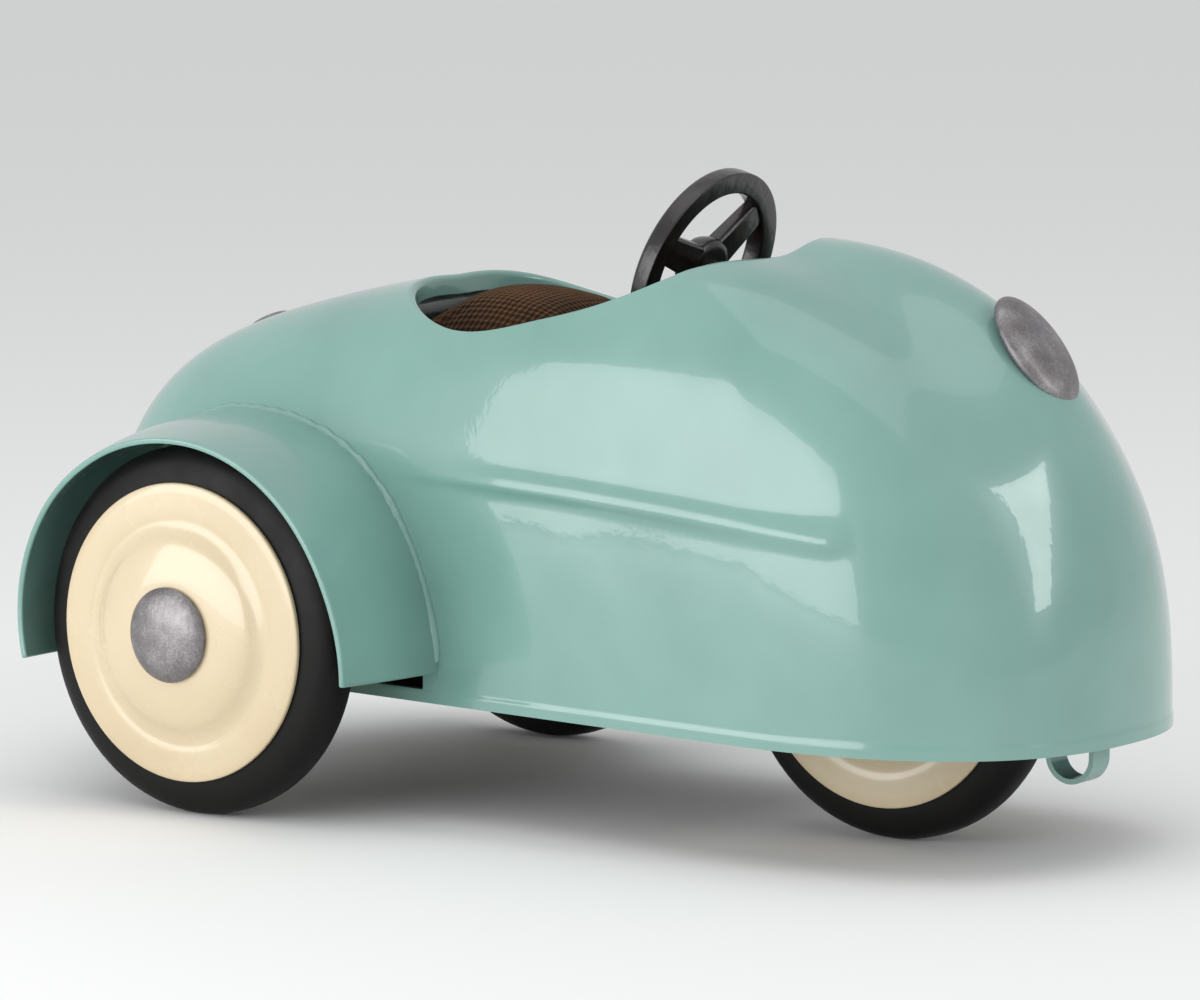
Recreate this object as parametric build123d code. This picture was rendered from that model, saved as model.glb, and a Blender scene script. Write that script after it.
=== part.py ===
"""Miniature three-wheeled pedal car in pressed sheet steel.

Axes while modelling: +X forward, +Y left, +Z up, X = 0 on the rear axle, Z = 0 on the ground.
Every part is moved at export so that X = 0 is the middle of the car's length.
All lengths are in millimetres, all angles in degrees.
"""
from build123d import *
import math
import os

# ---------------------------------------------------------------- driving sizes
# body skin
NOSE_X = 121.4            # foremost point of the sill
TAIL_X = -44.0            # rearmost point of the sill
SILL_Z = 16.0             # lower edge of the skin
SHEET = 0.8               # sheet thickness of skin and fenders
HALF_WIDTH = 31.5         # half width of the sill at its widest
WIDEST_X = 85.0           # where the sill is widest
TAPER = 0.08              # half width lost per millimetre behind the widest point
TAIL_START_X = 8.0        # where the tail begins to close
NOSE_POWER = 2.4          # squareness of the nose seen from above
TAIL_POWER = 3.0          # squareness of the tail seen from above
TOP_HEIGHTS = (74.6, 8.3, 0.6, -3.7)   # centreline height: cubic in steps of 50 mm
CROWN_X = 34.0            # where the lines of the skin meet
SECTION_SIDE = 4.15        # squareness of the section over the sides
SECTION_NOSE = 2.38       # over the shoulders of the nose
SECTION_RIDGE = 3.7       # on the ridge that runs down the middle of the nose
SECTION_TAIL = 2.6        # over the tail
RIDGE_SPREAD = 17.0       # half angle of the ridge
HEM_HEIGHT = 1.6          # folded lower edge
HEM_PROUD = 0.3
# cockpit
COCKPIT_X = 43.5
COCKPIT_HALF_LENGTH = 30.5
COCKPIT_HALF_WIDTH = 23.4
COCKPIT_POWER = 2.8       # squareness of the opening seen from above
LIP_DEPTH = 2.6
# wheels
REAR_TYRE_R = 25.0
FRONT_TYRE_R = 23.8
TYRE_WIDTH = 8.0
TYRE_CORNER = 3.2
DISC_R = 20.2
DISC_SHEET = 0.8
DISC_DOME = 2.0           # how far the middle of a rear disc stands out
FRONT_DOME = 0.6
CAP_R = 6.5
CAP_HEIGHT = 2.4
TRACK_HALF = 39.6         # middle of a rear tyre from the centreline
WHEELBASE = 86.0
AXLE_R = 1.5
RUNNING = 0.06            # radial running clearance
SNUG = 0.02               # gap between parts pressed or welded together
CLEAR = 0.3               # gap between curved parts
# fenders: angle from straight ahead of the axle, radius at the body, radius at the lip
FENDER_STATIONS = (
    (-9, 31.0, 29.4),
    (20, 28.8, 27.2),
    (50, 27.9, 26.4),
    (90, 27.8, 26.3),
    (120, 30.6, 26.9),
    (145, 33.2, 27.6),
    (170, 32.4, 27.8),
    (192, 31.0, 27.6),
)
FENDER_IN_Y = 15.0        # where the sheet starts, inside the skin
FENDER_OUT_Y = 45.8
ARCH_R = 27.2             # opening in the skin behind the wheel
ARCH_IN_Y = 20.0
# steering
STEER_X = 54.3
STEER_Z = 74.0
STEER_TILT = 20.5         # column below the horizontal
STEER_R = 14.0
STEER_RIM = 3.1           # width of the flat rim
SPOKE_TURNS = (72, 192, 312)   # spokes, from the top of the wheel towards the right
STEER_THICK = 2.8
HUB_R = 4.4
COLUMN_R = 1.5
ARM_REACH = 12.6          # drop arm and fork arm, centre to ball
BALL_R = 1.2
BALL_GAP = 0.24
STEM_R = 1.8
FORK_SHEET = 1.4
FORK_GAP = 0.9            # front hub end to fork leg
CROWN_GAP = 1.8           # tyre to fork crown
ARM_SHEET = 1.8
BRACKET_AT = 21.0         # wheel centre to the column bracket
# chassis
FLOOR_Z = 17.0            # underside of the floor pan
FLOOR_SHEET = 0.8
RAIL_HEIGHT = 3.2
RAIL_WIDTH = 2.6
RAIL_Y = 19.7
SEAT_Z = 50.0
SEAT_BACK_X = 10.5
SEAT_FRONT_X = 45.0
SEAT_HALF = 18.0
CUSHION_HEIGHT = 16.8
# trim
LAMP_X = 106.6
LAMP_HALF_LENGTH = 8.4
LAMP_HALF_WIDTH = 6.6
LAMP_HEIGHT = 1.7
LAMP_LEAN = 38.0          # lamp axis above the horizontal
TAIL_LAMP_X = -20.5
TAIL_LAMP_LEAN = 62.0
LOOP_X = 113.7
LOOP_LENGTH = 7.2
LOOP_DROP = 6.8
LOOP_WIDTH = 4.0
LOOP_SHEET = 0.7
RIVET_R = 1.3

AXLE_Z = REAR_TYRE_R
FRONT_Z = FRONT_TYRE_R
SHIFT_X = -(NOSE_X + TAIL_X) / 2
FLOOR_TOP = FLOOR_Z + FLOOR_SHEET
TYRE_FACE = TYRE_WIDTH / 2
FLANGE = TYRE_FACE + SNUG + DISC_SHEET
HUB_HALF = FLANGE + 1.0
TUBE_R = AXLE_R + RUNNING + 0.8
ROWS = 22
AROUND = 96


# ---------------------------------------------------------------- body skin
def top_height(x):
    """Height of the centreline of the skin at x."""
    t = (x - CROWN_X) / 50
    a, b, c, d = TOP_HEIGHTS
    return a + b * t + c * t * t + d * t ** 3


def sill_point(turn, grow=0.0):
    """Point of the sill seen from above; turn runs 0..1 from the tail round the right side."""
    nose = NOSE_X + grow
    tail = TAIL_X - grow
    half = HALF_WIDTH + grow
    side = -1 if turn < 0.5 else 1
    t = turn * 2 if turn < 0.5 else 2 - turn * 2
    # t runs 0 (tail) to 1 (nose): tail curve, straight taper, nose curve
    if t < 0.36:
        angle = t / 0.36 * math.pi / 2
        x = TAIL_START_X - (TAIL_START_X - tail) * math.cos(angle) ** (2 / TAIL_POWER)
        close = math.sin(angle) ** (2 / TAIL_POWER)
    elif t < 0.64:
        x = TAIL_START_X + (WIDEST_X - TAIL_START_X) * (t - 0.36) / 0.28
        close = 1.0
    else:
        angle = (1 - t) / 0.36 * math.pi / 2
        x = WIDEST_X + (nose - WIDEST_X) * math.cos(angle) ** (2 / NOSE_POWER)
        close = math.sin(angle) ** (2 / NOSE_POWER)
    width = half - TAPER * max(WIDEST_X - x, 0)
    return x, side * width * close


def skin_point(turn, rise, inset=0.0):
    """Point of the outer skin; rise runs 0 at the sill to 1 near the pole of the rings."""
    x0, y0 = sill_point(turn)
    bearing = math.atan2(y0 / 30, (x0 - CROWN_X) / 60)
    ahead = max(math.cos(bearing), 0) ** 2
    behind = max(-math.cos(bearing), 0) ** 2
    power = SECTION_SIDE + (SECTION_NOSE - SECTION_SIDE) * ahead
    power += (SECTION_TAIL - SECTION_SIDE) * behind
    power += (SECTION_RIDGE - SECTION_NOSE) * math.exp(-(math.degrees(bearing) / RIDGE_SPREAD) ** 2)
    angle = rise * math.pi / 2
    inward = math.cos(angle) ** (2 / power)
    upward = math.sin(angle) ** (2 / power)
    x = CROWN_X + (x0 - CROWN_X) * inward
    y = y0 * inward
    z = SILL_Z + (top_height(x) - SILL_Z) * upward
    return Vector(x, y, z)


def inset_point(turn, rise, depth):
    """Point at a depth below the outer skin; a negative depth stands outside it."""
    here = skin_point(turn, rise)
    if depth == 0:
        return here
    step = 0.004
    along = skin_point((turn + step) % 1, rise) - skin_point((turn - step) % 1, rise)
    up = skin_point(turn, rise + step) - skin_point(turn, max(rise - step, 0))
    normal = along.cross(up).normalized()
    if rise == 0:
        normal = Vector(normal.X, normal.Y, 0).normalized()
    return here - normal * depth


def skin_solid(depth=0.0):
    """Closed solid under the skin, with a well where the cockpit opening will be."""
    rows = []
    for row in range(ROWS):
        rise = 0.93 * row / (ROWS - 1)
        rows.append([inset_point(k / AROUND, rise, depth) for k in range(AROUND + 1)])
    skin = Face.make_surface_from_array_of_points(rows, tol=0.02, min_deg=3, max_deg=5)
    rings = sorted([e for e in skin.edges() if e.is_closed], key=lambda e: e.center().Z)
    sill = rings[0]
    top = rings[-1]
    well_z = SEAT_Z + CUSHION_HEIGHT / 2
    well_points = [Vector(p.X, p.Y, well_z) for p in rows[-1][:-1]]
    well_ring = Edge.make_spline(well_points, periodic=True)
    well = Face.make_surface_from_curves(top, well_ring)
    faces = [skin, well, Face(Wire([sill])), Face(Wire([well_ring]))]
    return Solid(Shell(faces))


def sill_wire(grow, z):
    """Outline of the sill seen from above, grown outwards, at height z."""
    points = []
    for k in range(AROUND):
        x, y = sill_point(k / AROUND, grow)
        points.append(Vector(x, y, z))
    return Wire([Edge.make_spline(points, periodic=True)])


def sill_plate(grow, z, height):
    """Flat plate with the outline of the sill."""
    return Solid.extrude(Face(sill_wire(grow, z)), Vector(0, 0, height))


def cockpit_plug(shrink=0.0):
    """Upright oval plug that passes through the cockpit opening."""
    points = []
    for k in range(48):
        angle = 2 * math.pi * k / 48
        along = abs(math.cos(angle)) ** (2 / COCKPIT_POWER) * math.copysign(1, math.cos(angle))
        across = abs(math.sin(angle)) ** (2 / COCKPIT_POWER) * math.copysign(1, math.sin(angle))
        x = COCKPIT_X + (COCKPIT_HALF_LENGTH - shrink) * along
        points.append(Vector(x, (COCKPIT_HALF_WIDTH - shrink) * across, SEAT_Z))
    outline = Wire([Edge.make_spline(points, periodic=True)])
    return Solid.extrude(Face(outline), Vector(0, 0, 60))


def box(x0, x1, y0, y1, z0, z1):
    """Block between two corners."""
    return Pos((x0 + x1) / 2, (y0 + y1) / 2, (z0 + z1) / 2) * Box(x1 - x0, y1 - y0, z1 - z0)


def rod_y(radius, y0, y1, x, z):
    """Round bar along Y."""
    low, high = min(y0, y1), max(y0, y1)
    return Pos(x, (low + high) / 2, z) * Rot(90, 0, 0) * Cylinder(radius, high - low)


def body_shell(outer):
    """Pressed skin with folded sill, inward cockpit lip and openings beside the rear wheels."""
    shell = outer - skin_solid(SHEET)
    shell -= cockpit_plug(SHEET)
    ring = cockpit_plug() - cockpit_plug(SHEET)
    lip = (ring & outer) - Pos(0, 0, -LIP_DEPTH) * outer
    hem = sill_plate(HEM_PROUD, SILL_Z, HEM_HEIGHT) - sill_plate(-SHEET / 2, SILL_Z - 1, HEM_HEIGHT + 2)
    shell = shell + lip + hem
    for side in (-1, 1):
        y0, y1 = sorted((side * ARCH_IN_Y, side * FENDER_OUT_Y))
        arch = rod_y(ARCH_R, y0, y1, 0.5, AXLE_Z) + box(0, 0.5 + ARCH_R, y0, y1, SILL_Z, AXLE_Z)
        shell -= arch & box(-40, 40, y0, y1, SILL_Z + HEM_HEIGHT, AXLE_Z + 40)
    return shell


def between(angle):
    """Fender radii at an angle, smoothed between the stations."""
    table = FENDER_STATIONS
    last = len(table) - 1
    spot = max(k for k in range(last) if table[k][0] <= angle or k == 0)
    before = table[max(spot - 1, 0)]
    here = table[spot]
    there = table[spot + 1]
    after = table[min(spot + 2, last)]
    t = (angle - here[0]) / (there[0] - here[0])
    radii = []
    for k in (1, 2):
        slope0 = (there[k] - before[k]) / (there[0] - before[0]) * (there[0] - here[0])
        slope1 = (after[k] - here[k]) / (after[0] - here[0]) * (there[0] - here[0])
        value = (2 * t ** 3 - 3 * t ** 2 + 1) * here[k] + (t ** 3 - 2 * t ** 2 + t) * slope0
        value += (3 * t ** 2 - 2 * t ** 3) * there[k] + (t ** 3 - t ** 2) * slope1
        radii.append(value)
    return radii


def fender(side, grown_skin):
    """Crowned arch over a rear wheel, trimmed where it meets the skin."""
    first = FENDER_STATIONS[0][0]
    final = FENDER_STATIONS[-1][0]
    rows = []
    for i in range(29):
        angle = first + (final - first) * i / 28
        at_body, at_lip = between(min(angle, final - 0.001))
        row = []
        for j in range(11):
            v = j / 10
            radius = at_body + (at_lip - at_body) * v ** 2.4
            y = FENDER_IN_Y + (FENDER_OUT_Y - FENDER_IN_Y) * v
            x = radius * math.cos(math.radians(angle))
            z = AXLE_Z + radius * math.sin(math.radians(angle))
            row.append(Vector(x, side * y, z))
        rows.append(row)
    skin = Face.make_surface_from_array_of_points(rows, tol=0.02, min_deg=3, max_deg=5)
    middle = skin.center()
    up = skin.normal_at(middle).dot(middle - Vector(0, side * TRACK_HALF, AXLE_Z))
    sheet = Solid.thicken(skin, -SHEET if up > 0 else SHEET)
    return sheet - grown_skin


def tyre(radius, y):
    """Solid rubber tyre with rounded shoulders."""
    bore = DISC_R * radius / REAR_TYRE_R - 3.4
    ring = Pos((radius + bore) / 2, 0) * Rectangle(radius - bore, TYRE_WIDTH)
    outer = ring.vertices().sort_by(Axis.X)[-2:]
    ring = fillet(outer, TYRE_CORNER)
    return turned(ring, y)


def turned(profile, y, flip=1):
    """Turn a profile drawn in radius and width about the Y axis and set it at y."""
    face = profile if flip == 1 else mirror(profile, Plane.XZ)
    return Pos(0, y, 0) * revolve(face, Axis.Y)


def disc(radius, dome, y, side):
    """Pressed wheel disc: flat flange on the tyre, soft step, domed middle, hub hole."""
    rim = TYRE_FACE + SNUG
    hole = TUBE_R + SNUG
    outline = [
        (hole, rim + dome),
        (CAP_R + 1.0, rim + dome),
        (radius * 0.62, rim + dome * 0.55),
        (radius * 0.70, rim + dome * 0.1),
        (radius * 0.80, rim),
        (radius, rim),
    ]
    back = [Vector(r, w) for r, w in outline]
    front = [Vector(r, w + DISC_SHEET) for r, w in reversed(outline)]
    face = make_face(Polyline(*back, *front, close=True))
    return turned(face, y, side)


def hub_cap(y, side, dome):
    """Domed cap over the hub, hollow for the axle end."""
    seat = FLANGE + dome + SNUG
    rim = seat + 0.5
    top = seat + CAP_HEIGHT
    ball = (CAP_R ** 2 + (top - rim) ** 2) / (2 * (top - rim))
    dome = Pos(0, top - ball, 0) * Rot(90, 0, 0) * Sphere(ball)
    plug = Pos(0, (seat + top) / 2, 0) * Rot(90, 0, 0) * Cylinder(CAP_R, top - seat)
    hollow = Pos(0, seat, 0) * Rot(90, 0, 0) * Cylinder(3.2, 2.4)
    cap = (plug & dome) - hollow
    return Pos(0, y, 0) * (cap if side == 1 else Rot(180, 0, 0) * cap)


def tube_y(outer, inner, y0, y1, x, z):
    """Round tube along Y."""
    return rod_y(outer, y0, y1, x, z) - rod_y(inner, y0 - 1, y1 + 1, x, z)


def rear_wheel(side):
    """The five pieces of one rear wheel."""
    place = Pos(0, side * TRACK_HALF, AXLE_Z)
    end = FLANGE + DISC_DOME
    inner_end = FLANGE
    y0, y1 = sorted((-side * (inner_end + 0.6), side * end))
    return {
        "tyre": place * tyre(REAR_TYRE_R, 0),
        "disc_outer": place * disc(DISC_R, DISC_DOME, 0, side),
        "disc_inner": place * disc(DISC_R, 0, 0, -side),
        "hub": place * tube_y(TUBE_R, AXLE_R + RUNNING, y0, y1, 0, 0),
        "cap": place * hub_cap(0, side, DISC_DOME),
    }


def rear_axle():
    """Through axle with a riveted head inside each cap and a collar inside each wheel."""
    reach = TRACK_HALF + FLANGE + DISC_DOME + 0.15
    axle = rod_y(AXLE_R, -reach, reach, 0, AXLE_Z)
    for side in (-1, 1):
        axle += rod_y(AXLE_R + 0.7, side * reach, side * (reach + 0.8), 0, AXLE_Z)
        collar = side * (TRACK_HALF - FLANGE - 0.6 - 0.15)
        axle += rod_y(AXLE_R + 1.2, collar, collar - side * 1.2, 0, AXLE_Z)
    return axle


def front_wheel():
    """The pieces of the front wheel."""
    place = Pos(WHEELBASE, 0, FRONT_Z)
    radius = DISC_R * FRONT_TYRE_R / REAR_TYRE_R
    half = FLANGE + FRONT_DOME + 0.5
    return {
        "front_tyre": place * tyre(FRONT_TYRE_R, 0),
        "front_disc_left": place * disc(radius, FRONT_DOME, 0, 1),
        "front_disc_right": place * disc(radius, FRONT_DOME, 0, -1),
        "front_hub": place * tube_y(TUBE_R, AXLE_R + RUNNING, -half, half, 0, 0),
    }


def fork_leg_y():
    """Inner face of a fork leg from the middle of the wheel."""
    return FLANGE + FRONT_DOME + 0.5 + FORK_GAP


def crown_z():
    return FRONT_Z + FRONT_TYRE_R + CROWN_GAP


def column_dir():
    """Direction of the column, forward and down."""
    tilt = math.radians(STEER_TILT)
    return Vector(math.cos(tilt), 0, -math.sin(tilt))


def column_reach():
    """Distance from the steering wheel to the drop arm, so that both arms are equally long."""
    tilt = math.radians(STEER_TILT)
    return (WHEELBASE - STEER_X - ARM_REACH * (1 - math.sin(tilt))) / math.cos(tilt)


def ball_height():
    """Height of the drop arm's ball at rest."""
    tilt = math.radians(STEER_TILT)
    return STEER_Z - column_reach() * math.sin(tilt) - ARM_REACH * math.cos(tilt)


def arm_bottom():
    return ball_height() - 0.2



def fork():
    """Front fork: crown, two legs, stem and the slotted arm that the drop arm moves."""
    inner = fork_leg_y()
    outer = inner + FORK_SHEET
    top = crown_z() + FORK_SHEET
    part = box(WHEELBASE - 4, WHEELBASE + 4, -outer, outer, crown_z(), top)
    for side in (-1, 1):
        y0, y1 = sorted((side * inner, side * outer))
        part += box(WHEELBASE - 3.2, WHEELBASE + 3.2, y0, y1, FRONT_Z, top)
        part += rod_y(3.2, y0, y1, WHEELBASE, FRONT_Z)
    part -= rod_y(AXLE_R + SNUG, -outer - 1, outer + 1, WHEELBASE, FRONT_Z)
    low = arm_bottom()
    stem_top = bush_top() + 1.9
    part += Pos(WHEELBASE, 0, (top + low) / 2) * Cylinder(3.4, low - top)
    part += Pos(WHEELBASE, 0, (low + stem_top) / 2) * Cylinder(STEM_R, stem_top - low)
    arm = Pos(WHEELBASE, 0) * Circle(3.4)
    arm += Pos(WHEELBASE - ARM_REACH / 2 - 1.2, 0) * Rectangle(ARM_REACH + 2.4, 5.6)
    slot = BALL_R + BALL_GAP
    arm -= Pos(WHEELBASE - ARM_REACH - 1.4, 0) * Rectangle(2 * 3.9, 2 * slot)
    part += Pos(0, 0, low) * extrude(arm, ARM_SHEET)
    return part


def bush_bottom():
    return arm_bottom() + ARM_SHEET + 0.3


def bush_top():
    return bush_bottom() + 5.0


def fork_carrier():
    """Hat-shaped cross member with the bush that carries the fork stem."""
    half = RAIL_Y + 3.5
    plate = bush_bottom() + 1.6
    part = box(WHEELBASE - 4, WHEELBASE + 4, -half, half, plate, plate + 1.2)
    for side in (-1, 1):
        y0, y1 = sorted((side * half, side * (half - 1.2)))
        part += box(WHEELBASE - 4, WHEELBASE + 4, y0, y1, FLOOR_TOP + SNUG, plate + 1.2)
        y0, y1 = sorted((side * half, side * (half - 3.4)))
        part += box(WHEELBASE - 4, WHEELBASE + 4, y0, y1, FLOOR_TOP + SNUG, FLOOR_TOP + SNUG + 1.2)
    part += Pos(WHEELBASE, 0, (bush_bottom() + bush_top()) / 2) * Cylinder(3.6, bush_top() - bush_bottom())
    part -= Pos(WHEELBASE, 0, (bush_bottom() + bush_top()) / 2) * Cylinder(STEM_R + RUNNING, 12)
    return part


def fork_clip():
    """Retaining ring on the fork stem, above the bush."""
    ring = Circle(STEM_R + 1.3) - Circle(STEM_R + SNUG)
    return Pos(WHEELBASE, 0, bush_top() + 0.15) * extrude(ring, 1.0)


def front_axle():
    """Fixed axle across the fork, with riveted ends."""
    reach = fork_leg_y() + FORK_SHEET + 0.05
    axle = rod_y(AXLE_R, -reach, reach, WHEELBASE, FRONT_Z)
    for side in (-1, 1):
        axle += rod_y(AXLE_R + 0.8, side * reach, side * (reach + 0.9), WHEELBASE, FRONT_Z)
    return axle


def steering_place(along=0.0):
    """Work plane square to the column: local +Z runs forward and down, local +X up the wheel."""
    tilt = math.radians(STEER_TILT)
    up = Vector(math.sin(tilt), 0, math.cos(tilt))
    origin = Vector(STEER_X, 0, STEER_Z) + column_dir() * along
    return Plane(origin=origin, x_dir=up, z_dir=column_dir())


def steering_wheel():
    """Cast wheel: flat rim, three spokes and a boss towards the driver."""
    rim = Circle(STEER_R) - Circle(STEER_R - STEER_RIM)
    wheel = Pos(0, 0, -STEER_THICK / 2) * extrude(rim, STEER_THICK)
    for turn in SPOKE_TURNS:
        spoke = Pos(STEER_R / 2 - 0.6, 0, 0) * Box(STEER_R - 1.8, 3.0, STEER_THICK * 0.75)
        wheel += Rot(0, 0, turn) * spoke
    boss = Pos(0, 0, -2.4) * extrude(Circle(HUB_R), 4.0)
    wheel += boss
    wheel -= Pos(0, 0, -1.2) * extrude(Circle(COLUMN_R + SNUG), 6)
    return steering_place() * wheel


def steering_column():
    """Column from the wheel's boss to the drop arm, with a shoulder behind the bracket."""
    end = column_reach() + 1.4
    column = Pos(0, 0, -1.0) * extrude(Circle(COLUMN_R), end + 1.0)
    column += Pos(0, 0, BRACKET_AT - 1.4) * extrude(Circle(COLUMN_R + 1.0), 1.2)
    return steering_place() * column



def column_bracket(inner):
    """Plate that hangs the column from the underside of the cowl."""
    plate = Pos(0, 0, 0) * extrude(Pos(6.0, 0) * Rectangle(19.2, 12), 1.2)
    plate -= Pos(0, 0, -1) * extrude(Circle(COLUMN_R + RUNNING), 4)
    plate = steering_place(BRACKET_AT) * plate
    return plate & (Pos(0, 0, -0.25) * inner)


def column_collar():
    """Ring that holds the column in its bracket."""
    ring = Circle(COLUMN_R + 1.2) - Circle(COLUMN_R + SNUG)
    return steering_place(BRACKET_AT + 1.2 + 0.2) * extrude(ring, 1.6)


def drop_arm():
    """Arm that hangs from the column's end and carries the ball."""
    hub = Circle(COLUMN_R + 1.5)
    reach = -ARM_REACH
    part = Pos(0, 0, -1.0) * extrude(hub, 2.0)
    part += Pos(reach / 2, 0, 0) * Rot(0, 90, 0) * Cylinder(0.8, ARM_REACH)
    part += Pos(reach, 0, 0) * Sphere(BALL_R)
    part -= Pos(0, 0, -3) * extrude(Circle(COLUMN_R + SNUG), 6)
    return steering_place(column_reach()) * part


def floor_pan():
    """Flat floor inside the sill, open round the front wheel, notched beside the rear wheels."""
    pan = sill_plate(-SHEET - CLEAR, FLOOR_Z, FLOOR_SHEET)
    front = WHEELBASE + math.sqrt(FRONT_TYRE_R ** 2 - (FRONT_Z - FLOOR_Z) ** 2) + 0.8
    back = WHEELBASE - (front - WHEELBASE) - 1.6
    slot = box(back, front, -18.5, 18.5, FLOOR_Z - 1, FLOOR_TOP + 1)
    pan -= fillet(slot.edges().filter_by(Axis.Z), 5)
    return pan


def rail(side):
    """Folded channel along the floor, open side down."""
    y0 = side * RAIL_Y - RAIL_WIDTH / 2
    y1 = side * RAIL_Y + RAIL_WIDTH / 2
    z0 = FLOOR_TOP + SNUG
    part = box(-7, 57, y0, y1, z0, z0 + RAIL_HEIGHT)
    return part - box(-8, 58, y0 + 0.6, y1 - 0.6, z0 - 1, z0 + RAIL_HEIGHT - 0.6)


def axle_bracket(side):
    """Folded bracket that holds the rear axle above the floor."""
    y0, y1 = sorted((side * 14.0, side * 15.2))
    f0, f1 = sorted((side * 11.0, side * 15.2))
    z0 = FLOOR_TOP + SNUG
    part = box(-4.5, 4.5, y0, y1, z0, AXLE_Z) + rod_y(4.5, y0, y1, 0, AXLE_Z)
    part += box(-4.5, 4.5, f0, f1, z0, z0 + 1.2)
    return part - rod_y(AXLE_R + SNUG, y0 - 1, y1 + 1, 0, AXLE_Z)


def seat_box():
    """Folded seat: flat top on two cross panels that stand on the floor."""
    z0 = FLOOR_TOP + SNUG
    part = box(SEAT_BACK_X, SEAT_FRONT_X, -SEAT_HALF, SEAT_HALF, SEAT_Z - 0.8, SEAT_Z)
    for x in (SEAT_BACK_X, SEAT_FRONT_X - 0.8):
        inner = RAIL_Y - RAIL_WIDTH / 2 - 0.4
        part += box(x, x + 0.8, -inner, inner, z0, SEAT_Z)
    return part


def seat_cushion():
    """Plain closed pad that fills the cockpit over the seat."""
    z0 = SEAT_Z + 0.3
    pad = box(SEAT_BACK_X + 0.5, SEAT_FRONT_X - 0.5, -SEAT_HALF, SEAT_HALF, z0, z0 + CUSHION_HEIGHT)
    pad = fillet(pad.edges().filter_by(Axis.Z), 11)
    return fillet(pad.edges().filter_by(Axis.Z, reverse=True), 5.5)


def lamp(x, lean, long_half, wide_half, height, grown_skin, face):
    """Shallow oval dome that follows the skin at x on the centreline."""
    z = centre_height(x, face)
    dome = scale(Sphere(1), (height * 2, wide_half, long_half))
    turn = -lean if face > 0 else lean - 180
    return (Pos(x, 0, z) * Rot(0, turn, 0) * dome) - grown_skin


def centre_height(x, face):
    """Height of the skin on the centreline at x; face is +1 for the nose and -1 for the tail."""
    turn = 0.5 if face > 0 else 0.0
    low, high = 0.0, 1.0
    for _ in range(40):
        middle = (low + high) / 2
        ahead = (skin_point(turn, middle).X - x) * face > 0
        low, high = (middle, high) if ahead else (low, middle)
    return skin_point(turn, low).Z


def tow_loop():
    """Strap bent to a U under the nose, its ends turned outwards under the floor."""
    half = LOOP_LENGTH / 2
    top = FLOOR_Z - SNUG
    r = half
    outer = Pos(LOOP_X, 0, top - LOOP_DROP + r) * Rot(90, 0, 0) * Cylinder(r, LOOP_WIDTH)
    outer += box(LOOP_X - r, LOOP_X + r, -LOOP_WIDTH / 2, LOOP_WIDTH / 2, top - LOOP_DROP + r, top)
    q = r - LOOP_SHEET
    hole = Pos(LOOP_X, 0, top - LOOP_DROP + r) * Rot(90, 0, 0) * Cylinder(q, LOOP_WIDTH + 2)
    hole += box(LOOP_X - q, LOOP_X + q, -LOOP_WIDTH, LOOP_WIDTH, top - LOOP_DROP + r, top - LOOP_SHEET)
    return (outer - hole) & box(LOOP_X - r, LOOP_X + r, -LOOP_WIDTH, LOOP_WIDTH, 0, top)


def rivets():
    """Domed rivet heads under the floor, along both rails and at the brackets."""
    heads = []
    for x in (-4, 16, 36, 54):
        for side in (-1, 1):
            head = Sphere(RIVET_R * 1.25) & box(-3, 3, -3, 3, -3, -RIVET_R * 0.75)
            heads.append(Pos(x, side * RAIL_Y, FLOOR_Z - SNUG + RIVET_R * 0.75) * head)
    return heads


# ---------------------------------------------------------------- export
def save(node, shape):
    """Write one node, moved so that X = 0 is the middle of the car."""
    export_step(Pos(SHIFT_X, 0, 0) * shape, f"parts/{node}.step")


def main():
    os.makedirs("parts", exist_ok=True)
    outer = skin_solid()
    grown = skin_solid(-SNUG * 5)
    inner = skin_solid(SHEET)
    save("body_shell", body_shell(outer))
    for side, name in ((1, "left"), (-1, "right")):
        save(f"fender_{name}", fender(side, grown))
        save(f"chassis_rail_{name}", rail(side))
        save(f"axle_bracket_{name}", axle_bracket(side))
        for piece, shape in rear_wheel(side).items():
            save(f"rear_{name}_{piece}", shape)
    for name, shape in front_wheel().items():
        save(name, shape)
    save("floor_pan", floor_pan())
    save("seat_box", seat_box())
    save("seat_cushion", seat_cushion())
    save("rear_axle", rear_axle())
    save("fork_carrier", fork_carrier())
    save("fork", fork())
    save("fork_clip", fork_clip())
    save("front_axle", front_axle())
    save("steering_wheel", steering_wheel())
    save("steering_column", steering_column())
    save("column_bracket", column_bracket(inner))
    save("column_collar", column_collar())
    save("drop_arm", drop_arm())
    save("headlight", lamp(LAMP_X, LAMP_LEAN, LAMP_HALF_LENGTH, LAMP_HALF_WIDTH, LAMP_HEIGHT, grown, 1))
    save("tail_lamp", lamp(TAIL_LAMP_X, TAIL_LAMP_LEAN, 4.2, 3.4, 1.1, grown, -1))
    save("tow_loop", tow_loop())
    save("floor_rivets", Compound(rivets()))


main()
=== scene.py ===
# %% [markdown]
# # A miniature three-wheeled pedal car
# The real car is a small toy pressed from thin sheet steel. The CAD parts come in as a fixed frame,
# in metres, and the pieces that show are built again here with smooth surfaces and real finishes.

# %% Load the frame and keep its box
import bpy
import math
import numpy as np
from mathutils import Matrix, Vector


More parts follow.
